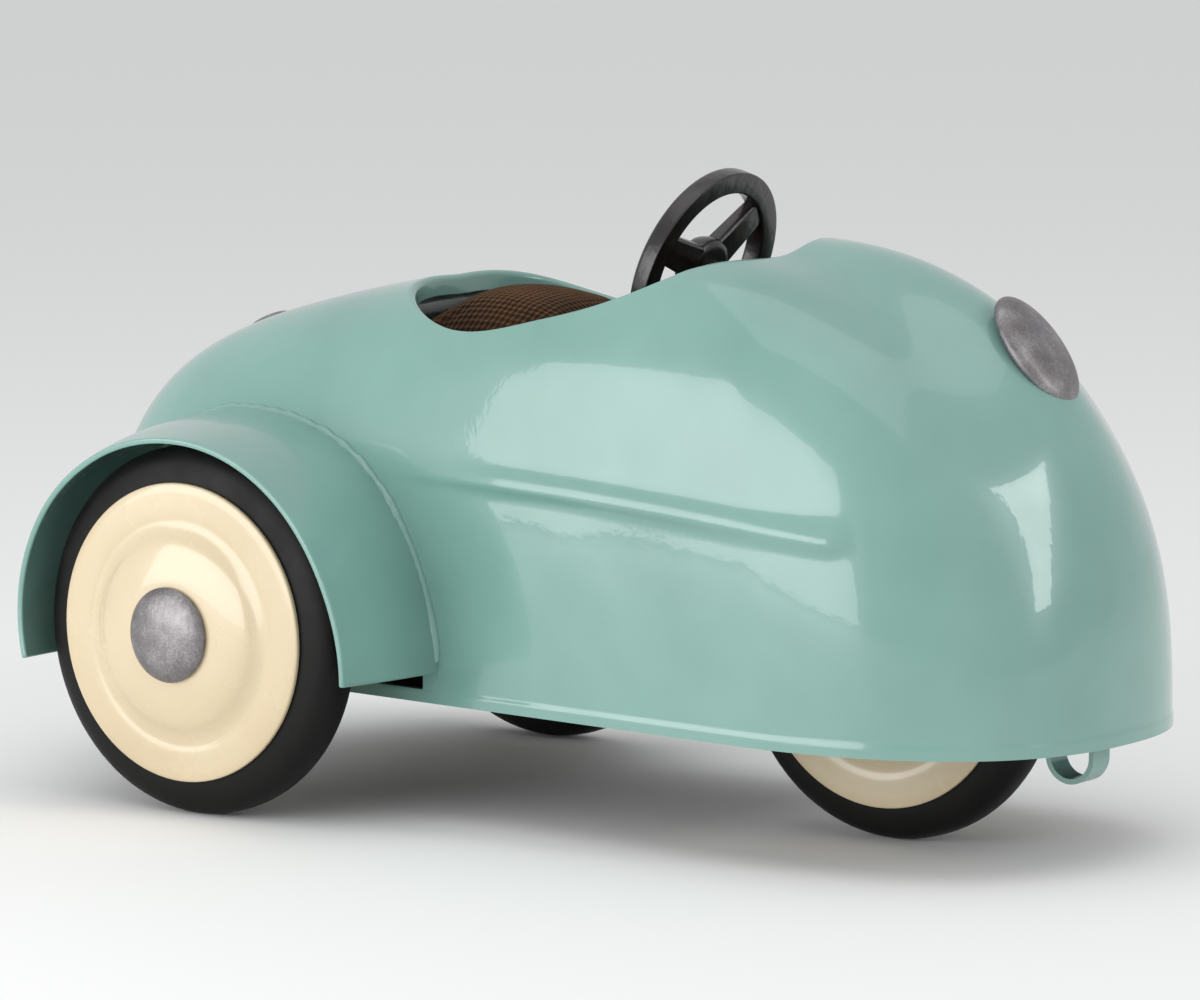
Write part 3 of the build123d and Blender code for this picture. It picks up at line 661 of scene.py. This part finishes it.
# %% Build both fenders and their weld beads
EDGE_ROUND = 0.25
BEAD_R, BEAD_SUNK, BEAD_OUT, BEAD_ENDS = 0.8, 0.35, 0.05, 2
for side, word in ((1, "left"), (-1, "right")):
    clear_selection()
    bpy.ops.mesh.primitive_grid_add(x_subdivisions=LONG, y_subdivisions=ACROSS, size=1)
    fender = name_new(f"fender_{word}_pressing")
    set_points(fender, fender_grid * (1, side, 1) + (SHIFT, 0, 0))
    choose(fender)
    bpy.ops.object.mode_set(mode="EDIT")
    bpy.ops.mesh.select_all(action="SELECT")
    bpy.ops.mesh.normals_make_consistent(inside=False)
    bpy.ops.object.mode_set(mode="OBJECT")
    top = max(fender.data.polygons, key=lambda p: p.center.z)
    if top.normal.z < 0:
        fender.data.flip_normals()
    finish_modifier(fender, "SOLIDIFY", thickness=SHEET * MM, offset=-1)
    finish_modifier(fender, "BEVEL", width=EDGE_ROUND * MM, segments=3, limit_method="ANGLE")
    choose(fender)
    bpy.ops.object.shade_smooth_by_angle(angle=math.radians(50))
    hand_over(fender, "car_body", TEAL, "body_enamel", f"fender_{word}")

    curve = bpy.data.curves.new("weld_path", "CURVE")
    curve.dimensions = "3D"
    curve.bevel_depth = BEAD_R * MM
    curve.bevel_resolution = 5
    spline = curve.splines.new("POLY")
    spline.points.add(len(angles) - 2 * BEAD_ENDS - 1)
    middle = slice(BEAD_ENDS, -BEAD_ENDS)
    for point, a, w in zip(spline.points, angles[middle], welds[middle]):
        px, py, pz = fender_point(a, w)
        a = math.radians(a)
        bead_x = px - BEAD_SUNK * math.cos(a) + SHIFT
        bead_z = pz - BEAD_SUNK * math.sin(a)
        point.co = (bead_x * MM, side * (py + BEAD_OUT) * MM, bead_z * MM, 1)
    path = bpy.data.objects.new("weld_path", curve)
    bpy.context.collection.objects.link(path)
    choose(path)
    bpy.ops.object.convert(target="MESH")
    bead = name_new(f"fender_{word}_weld")
    for v in bead.data.vertices:
        swell = 0.10 * math.sin(v.co.x / MM * 2.1 + v.co.z / MM)
        swell = swell + 0.07 * math.sin(v.co.z / MM * 3.7)
        v.co += v.normal * swell * MM
    tidy_mesh(bead, angle=80)
    hand_over(bead, "car_body", TEAL, "body_enamel")

# %% [markdown]
# ## The wheels
# A wheel is a rubber ring held between two pressed discs, with a domed cap over the hub. All are
# round, so each is an outline spun about the axle. The outline starts as a circle primitive whose
# points are moved to the section, and the Spin operator does the rest.


# %% Spin an outline about the axle
MOST_OF_SIDE = 0.49  # a corner may take up to this share of the side next to it
SPIN_DOUBLES = 0.00002


def round_corners(corners, steps):
    """Closed outline of (radius, width, corner) points with rounded corners."""
    outline = []
    count = len(corners)
    for k, (r, w, size) in enumerate(corners):
        here = np.array([r, w], float)
        if size <= 0:
            outline.append(here)
            continue
        before = np.array(corners[k - 1][:2], float) - here
        after = np.array(corners[(k + 1) % count][:2], float) - here
        reach, leave = np.linalg.norm(before), np.linalg.norm(after)
        first = here + before / reach * min(size, reach * MOST_OF_SIDE)
        last = here + after / leave * min(size, leave * MOST_OF_SIDE)
        for s in range(steps + 1):
            t = s / steps
            outline.append((1 - t) ** 2 * first + 2 * t * (1 - t) * here + t ** 2 * last)
    return outline


def spun(name, corners, centre, side=1, steps=96, round_steps=6):
    """Spin an outline of radius and width about an axle along Y through centre (mm)."""
    outline = round_corners(corners, round_steps)
    clear_selection()
    bpy.ops.mesh.primitive_circle_add(vertices=len(outline), radius=1 * MM)
    obj = name_new(name)
    cx, cy, cz = centre
    set_points(obj, [(cx + max(r, 0), cy + side * w, cz) for r, w in outline])
    choose(obj)
    bpy.ops.object.mode_set(mode="EDIT")
    bpy.ops.mesh.select_all(action="SELECT")
    bpy.ops.mesh.spin(
        steps=steps, angle=math.tau, center=(cx * MM, cy * MM, cz * MM), axis=(0, 1, 0),
        use_auto_merge=True,
    )
    bpy.ops.mesh.select_all(action="SELECT")
    bpy.ops.mesh.remove_doubles(threshold=SPIN_DOUBLES)
    bpy.ops.mesh.normals_make_consistent(inside=False)
    bpy.ops.object.mode_set(mode="OBJECT")
    bpy.ops.object.shade_smooth_by_angle(angle=math.radians(38))
    return obj


# %% Sizes of the wheels
TYRE_HALF, DISC_SHEET, TRACK, WHEELBASE = 4.0, 0.8, 39.6, 86.0
REAR_R, FRONT_R, DISC_R, CAP_R = 25.0, 23.8, 20.2, 6.5
TYRE_INSIDE, HUB_HOLE = 3.3, 2.4
REAR_DOME, FRONT_DOME = 2.0, 0.6


def tyre_section(radius, disc):
    """Rounded tread, full shoulders and a small step where the disc sits."""
    return [
        (disc - TYRE_INSIDE, -TYRE_HALF, 0.3), (disc + 0.5, -TYRE_HALF, 1.0),
        (radius - 1.4, -TYRE_HALF + 0.7, 2.0), (radius, -TYRE_HALF * 0.42, 2.6),
        (radius, TYRE_HALF * 0.42, 2.6), (radius - 1.4, TYRE_HALF - 0.7, 2.0),
        (disc + 0.5, TYRE_HALF, 1.0), (disc - TYRE_INSIDE, TYRE_HALF, 0.3),
    ]


def disc_section(radius, dome):
    """Pressed disc: thick painted rim, shallow ring groove, gentle dome and a hub hole."""
    face = TYRE_HALF + 0.02
    outer = face + DISC_SHEET
    return [
        (HUB_HOLE, face + dome, 0), (radius * 0.42, face + dome * 0.95, 3),
        (radius * 0.62, face + dome * 0.45, 3), (radius * 0.74, face + dome * 0.22, 3),
        (radius * 0.86, face, 2), (radius - 0.1, face, 0.1),
        (radius, face + 0.15, 0.1), (radius, outer - 0.1, 0.35),
        (radius * 0.955, outer + 0.08, 0.6),
        (radius * 0.80, outer + 0.04, 1.2), (radius * 0.745, outer - 0.20, 0.9),
        (radius * 0.68, outer + dome * 0.10, 0.9), (radius * 0.60, outer + dome * 0.62, 1.6),
        (radius * 0.42, outer + dome * 0.97, 3.0), (HUB_HOLE, outer + dome, 0),
    ]


def cap_section(dome):
    """Painted hub cap, a low button."""
    seat = TYRE_HALF + DISC_SHEET + dome + 0.05
    return [(0, seat, 0), (CAP_R - 0.2, seat, 0.1), (CAP_R, seat + 0.5, 0.3),
            (CAP_R * 0.86, seat + 1.25, 1.2), (CAP_R * 0.5, seat + 2.15, 1.8), (0, seat + 2.35, 0)]


print("wheels:", 2 * REAR_R, "mm behind and", 2 * FRONT_R, "mm in front")

# %% Build the three wheels
for side, word in ((1, "left"), (-1, "right")):
    hub = (SHIFT, side * TRACK, AXLE_Z)
    owner = f"rear_wheel_{word}"
    tyre = spun(f"rear_{word}_tyre_ring", tyre_section(REAR_R, DISC_R), hub, side)
    hand_over(tyre, owner, RUBBER, "rubber", f"rear_{word}_tyre")
    outer = spun(f"rear_{word}_disc_face", disc_section(DISC_R, REAR_DOME), hub, side)
    hand_over(outer, owner, CREAM, "cream_enamel", f"rear_{word}_disc_outer")
    inner = spun(f"rear_{word}_disc_back", disc_section(DISC_R, 0.0), hub, -side)
    hand_over(inner, owner, CREAM, "cream_enamel", f"rear_{word}_disc_inner")
    cap = spun(f"rear_{word}_hub_cap", cap_section(REAR_DOME), hub, side, steps=72)
    hand_over(cap, owner, SILVER, "silver_paint", f"rear_{word}_cap")
front = (SHIFT + WHEELBASE, 0, FRONT_R)
front_disc = DISC_R * FRONT_R / REAR_R
tyre = spun("front_tyre_ring", tyre_section(FRONT_R, front_disc), front)
hand_over(tyre, "front_wheel", RUBBER, "rubber", "front_tyre")
for side, word in ((1, "left"), (-1, "right")):
    disc = spun(f"front_{word}_disc_face", disc_section(front_disc, FRONT_DOME), front, side)
    hand_over(disc, "front_wheel", CREAM, "cream_enamel", f"front_disc_{word}")

# %% [markdown]
# ## The steering wheel
# A small casting dipped in lacquer: a broad flat-faced rim, three stout spokes and a boss towards
# the driver. The rim and the boss are spun outlines; each spoke is a block narrowed and rounded.

# %% Steering wheel
STEER_X, STEER_Z, STEER_TILT, STEER_R, STEER_RIM = 54.3, 74.0, 20.5, 14.0, 3.1
RIM_HALF, SPOKE_WIDE, SPOKE_THICK, SPOKE_ROUND = 1.4, 5.0, 2.5, 0.65
SPOKE_FROM, SPOKE_INTO_RIM, SPOKE_TURNS = 1.6, 0.9, (72, 192, 312)
tilt = math.radians(STEER_TILT)
forward = Vector((math.cos(tilt), 0, -math.sin(tilt)))
upward = Vector((math.sin(tilt), 0, math.cos(tilt)))
across = forward.cross(upward)
STEER_FRAME = Matrix((upward, across, forward)).transposed().to_4x4()
STEER_FRAME.translation = Vector(((STEER_X + SHIFT) * MM, 0, STEER_Z * MM))


def steering_rim():
    """Rim as a spun section, laid flat in the wheel's own plane."""
    section = [
        (STEER_R - STEER_RIM, -RIM_HALF, 0.5), (STEER_R - 0.2, -RIM_HALF, 0.8),
        (STEER_R, RIM_HALF, 0.3), (STEER_R - STEER_RIM + 0.1, RIM_HALF, 0.3),
    ]
    ring = spun("steering_rim", section, (0, 0, 0), steps=120, round_steps=4)
    settle(ring, Matrix.Rotation(math.pi / 2, 4, "X"))
    return ring


def steering_spoke(turn):
    """One spoke: a block narrowed towards the rim, with every edge rounded."""
    clear_selection()
    long = STEER_R - STEER_RIM + SPOKE_INTO_RIM - SPOKE_FROM
    bpy.ops.mesh.primitive_cube_add(size=1, scale=(long * MM, SPOKE_WIDE * MM, SPOKE_THICK * MM))
    spoke = name_new(f"steering_spoke_{turn}")
    settle(spoke)
    for v in spoke.data.vertices:
        if v.co.x > 0:
            v.co.y *= 0.80
            v.co.z *= 0.82
        v.co.x += (SPOKE_FROM + long / 2) * MM
    finish_modifier(spoke, "BEVEL", width=SPOKE_ROUND * MM, segments=5)
    settle(spoke, Matrix.Rotation(math.radians(turn), 4, "Z"))
    choose(spoke)
    bpy.ops.object.shade_smooth_by_angle(angle=math.radians(45))
    return spoke


# %% Put the steering wheel together
rim = steering_rim()
spokes = [steering_spoke(turn) for turn in SPOKE_TURNS]
boss_section = [
    (0, -2.4, 0), (3.2, -2.4, 0.8), (4.0, -0.9, 0.9),
    (4.35, 0.9, 0.8), (3.2, 1.6, 0.5), (0, 1.6, 0),
]
boss = spun("steering_boss", boss_section, (0, 0, 0), steps=48, round_steps=4)
settle(boss, Matrix.Rotation(math.pi / 2, 4, "X"))
for part in (rim, boss, *spokes):
    settle(part, STEER_FRAME)
hand_over(rim, "steering", CASTING, "black_enamel", "steering_wheel")
for spoke in spokes:
    hand_over(spoke, "steering", CASTING, "black_enamel")
hand_over(boss, "steering", CASTING, "black_enamel")

# %% [markdown]
# ## The seat pad
# A stuffed pad covered in woven cotton. It is blown up by Blender's cloth with a little pressure,
# at ten times its size, because cloth settings suit a pad of ordinary size, and then shrunk back.
# Last, its top is raised into a crown behind its middle, where the stuffing has gathered.


# %% Inflate the seat pad
GROW = 10
SMALLER, FLATTER = 9.4, 7.6  # the start is less than ten times the CAD pad, as the cloth swells
PAD_ROUND, VOXEL, MOST_MOVE = 0.105, 0.006, 0.012
PRESSURE, LAST_FRAME = 4.0, 20
HALF_GROW = GROW / 2
CROWN_BACK, CROWN_LONG, CROWN_FADE_X, CROWN_FADE_Y = 0.12, 5.6, 1.5, 1.3
EDGE_SHARE, CROWN_SHARE, CROWN_ABOVE = 0.66, 0.62, 2.9


def seat_pad():
    """The pad: a rounded block, inflated, crowned towards the back and set on the seat box."""
    low, high = (Vector(c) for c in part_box("seat_cushion"))
    middle, size = (low + high) / 2, high - low
    clear_selection()
    bpy.ops.mesh.primitive_cube_add(size=1)
    pad = name_new("seat_pad")
    pad.scale = (size.x * SMALLER, size.y * SMALLER, size.z * FLATTER)
    settle(pad)
    finish_modifier(pad, "BEVEL", width=PAD_ROUND, segments=6, limit_method="ANGLE")
    finish_modifier(pad, "REMESH", mode="VOXEL", voxel_size=VOXEL, use_smooth_shade=True)
    start = [v.co.copy() for v in pad.data.vertices]
    cloth = pad.modifiers.new("Cloth", "CLOTH")
    cloth.settings.use_pressure = True
    cloth.settings.uniform_pressure_force = PRESSURE
    cloth.settings.effector_weights.gravity = 0.0
    cloth.settings.quality = 5
    for step in range(1, LAST_FRAME + 1):
        bpy.context.scene.frame_set(step)
    choose(pad)
    bpy.ops.object.modifier_apply(modifier=cloth.name)
    bpy.context.scene.frame_set(1)
    for v, begin in zip(pad.data.vertices, start):
        move = v.co - begin
        if move.length > MOST_MOVE:
            v.co = begin + move.normalized() * MOST_MOVE
    finish_modifier(pad, "SUBSURF", levels=1, render_levels=1)
    for v in pad.data.vertices:
        along = (v.co.x + CROWN_BACK * size.x * HALF_GROW) / (size.x * CROWN_LONG)
        aside = v.co.y / (size.y * HALF_GROW)
        crown = math.exp(-CROWN_FADE_X * along ** 2 - CROWN_FADE_Y * aside ** 2)
        if v.co.z > 0:
            v.co.z *= EDGE_SHARE + CROWN_SHARE * crown
    highest = max(v.co.z for v in pad.data.vertices)
    lowest = min(v.co.z for v in pad.data.vertices)
    for v in pad.data.vertices:
        v.co.z = (v.co.z - lowest) / (highest - lowest) * (size.z + CROWN_ABOVE * MM)
        v.co.x *= 1 / GROW
        v.co.y *= 1 / GROW
    settle(pad, Matrix.Translation((middle.x, middle.y, low.z)))
    bpy.ops.object.shade_smooth()
    return pad


pad = seat_pad()
hand_over(pad, "car_body", CLOTH, "brown_cloth", "seat_cushion")

# %% [markdown]
# ## The lamp and the tail lamp
# Both are low oval domes brushed with aluminium paint. Each is a sphere pressed flat, turned with
# its long side up the slope, and laid on the skin so that its rim is sunk in by a small depth.


# %% Oval domes on the skin
DOME_POWER = 2.6


def oval_dome(name, node, long_half, wide_half, height, lean, back, climb=0.0):
    """Flattened sphere with its long side up the slope, sunk into the skin by a small depth."""
    low, high = (Vector(c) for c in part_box(node))
    centre = (low + high) / 2
    clear_selection()
    bpy.ops.mesh.primitive_uv_sphere_add(segments=96, ring_count=48, radius=1)
    dome = name_new(name)
    for v in dome.data.vertices:
        flat = math.hypot(v.co.x, v.co.y)
        v.co.z = math.copysign((1 - flat ** DOME_POWER) ** 0.5, v.co.z) if flat < 1 else 0
    dome.scale = (long_half * MM, wide_half * MM, height * MM)
    settle(dome)
    angle = math.radians(lean)
    normal = Vector((math.cos(angle), 0, math.sin(angle)))
    slope = Vector((-math.sin(angle), 0, math.cos(angle)))
    turn = Matrix((slope, normal.cross(slope), normal)).transposed().to_4x4()
    turn.translation = centre - normal * back * MM + slope * climb * MM
    settle(dome, turn)
    tidy_mesh(dome, angle=70)
    return dome


lamp = oval_dome("lamp_dome", "headlight", long_half=8.3, wide_half=5.8, height=1.9, lean=38.0,
                 back=0.2, climb=-0.8)
hand_over(lamp, "car_body", SILVER, "silver_paint", "headlight")
tail = oval_dome("tail_lamp_dome", "tail_lamp", long_half=3.9, wide_half=3.2, height=1.1,
                 lean=118.0, back=0.1)
hand_over(tail, "car_body", SILVER, "silver_paint", "tail_lamp")

# %% [markdown]
# ## Finishes on the hidden parts
# The chassis, the fork and the linkage keep their CAD shapes, which are right, and get the finish
# that each would have: black enamel for the folded sheet, bare steel for shafts, rings and rivets.

# %% Finish the CAD parts that stay
FINISH = {
    "floor_pan": BLACK, "seat_box": BLACK, "fork_carrier": BLACK, "fork": BLACK,
    "column_bracket": BLACK, "chassis_rail_left": BLACK, "chassis_rail_right": BLACK,
    "axle_bracket_left": BLACK, "axle_bracket_right": BLACK, "drop_arm": BLACK,
    "tow_loop": TEAL, "steering_column": CASTING,
    "rear_axle": STEEL, "front_axle": STEEL, "fork_clip": STEEL, "column_collar": STEEL,
    "floor_rivets": STEEL, "front_hub": STEEL, "rear_left_hub": STEEL, "rear_right_hub": STEEL,
}
for node, material in FINISH.items():
    for spot in bpy.data.objects[node].material_slots:
        spot.material = material
print("finished", len(FINISH), "CAD parts")

# %% [markdown]
# ## Floor, light and camera
# A pale floor with soft studio light: one large window-like panel at the car's right, a weaker one
# ahead of the nose and a broad one overhead. The camera has a long lens, a little above the axle.


# %% Floor
FLOOR_SIZE = 6  # metres
clear_selection()
bpy.ops.mesh.primitive_grid_add(x_subdivisions=4, y_subdivisions=4, size=FLOOR_SIZE)
floor = name_new("floor")
paper, paper_tree, paper_shader, paper_place = new_material("Paper_sweep_white", Roughness=0.9)
paper_shader.inputs["Base Color"].default_value = colour("F4F4F3")
fleck = add(paper_tree, "TexNoise", {"Vector": paper_place}, Scale=every(1.5), Detail=2.0)
tooth = add(paper_tree, "Bump", {"Height": fleck.outputs["Fac"]}, Strength=0.3, Distance=0.02 * MM)
wire(paper_tree, paper_shader, {"Normal": tooth.outputs["Normal"]})
floor.data.materials.append(paper)
print("floor:", FLOOR_SIZE, "m square,", paper.name)

# %% World and lights
world = bpy.data.worlds.new("Studio")
bpy.context.scene.world = world
world.use_nodes = True
sky = world.node_tree.nodes["Background"]
sky.inputs["Color"].default_value = colour("F6F7F8")
sky.inputs["Strength"].default_value = 0.74
PANEL_AIM_Z = 40


def bearing(azimuth, elevation):
    """Unit vector away from the car, azimuth counted from its right side towards its nose."""
    a, e = math.radians(azimuth), math.radians(elevation)
    return Vector((math.sin(a) * math.cos(e), -math.cos(a) * math.cos(e), math.sin(e)))


def panel(name, azimuth, elevation, distance_mm, wide_mm, high_mm, watts):
    """Rectangular light facing the car, placed by azimuth, elevation and distance."""
    away = bearing(azimuth, elevation)
    data = bpy.data.lights.new(name, "AREA")
    data.shape = "RECTANGLE"
    data.size, data.size_y = wide_mm * MM, high_mm * MM
    data.energy = watts
    light = bpy.data.objects.new(name, data)
    light.location = away * distance_mm * MM + Vector((0, 0, PANEL_AIM_Z * MM))
    light.rotation_mode = "QUATERNION"
    light.rotation_quaternion = away.to_track_quat("Z", "Y")
    bpy.context.collection.objects.link(light)
    print(name, "is", wide_mm, "x", high_mm, "mm and", distance_mm, "mm away")


panel("window_right", azimuth=-20, elevation=8.6, distance_mm=420, wide_mm=400, high_mm=198,
      watts=0.85)
panel("strip_nose", azimuth=92, elevation=22, distance_mm=700, wide_mm=80, high_mm=380, watts=0.7)
panel("overhead", azimuth=20, elevation=80, distance_mm=800, wide_mm=900, high_mm=700, watts=1.4)
bpy.context.scene.view_settings.view_transform = "Standard"

# %% Camera
AZIMUTH, ELEVATION, DISTANCE = 36.2, 7.2, 815.3
TARGET_X, TARGET_Z = 37.34, 41.22
TARGET = Vector(((TARGET_X + SHIFT) * MM, 0, TARGET_Z * MM))
back = bearing(AZIMUTH, ELEVATION)
camera_data = bpy.data.cameras.new("camera")
camera_data.sensor_width = 36
camera_data.lens = 180
camera = bpy.data.objects.new("camera", camera_data)
camera.location = TARGET + back * DISTANCE * MM
camera.rotation_mode = "QUATERNION"
camera.rotation_quaternion = back.to_track_quat("Z", "Y")
camera_data.clip_start, camera_data.clip_end = 0.01, 20
bpy.context.collection.objects.link(camera)
bpy.context.scene.camera = camera
print("camera:", camera_data.lens, "mm lens,", DISTANCE, "mm from the car")
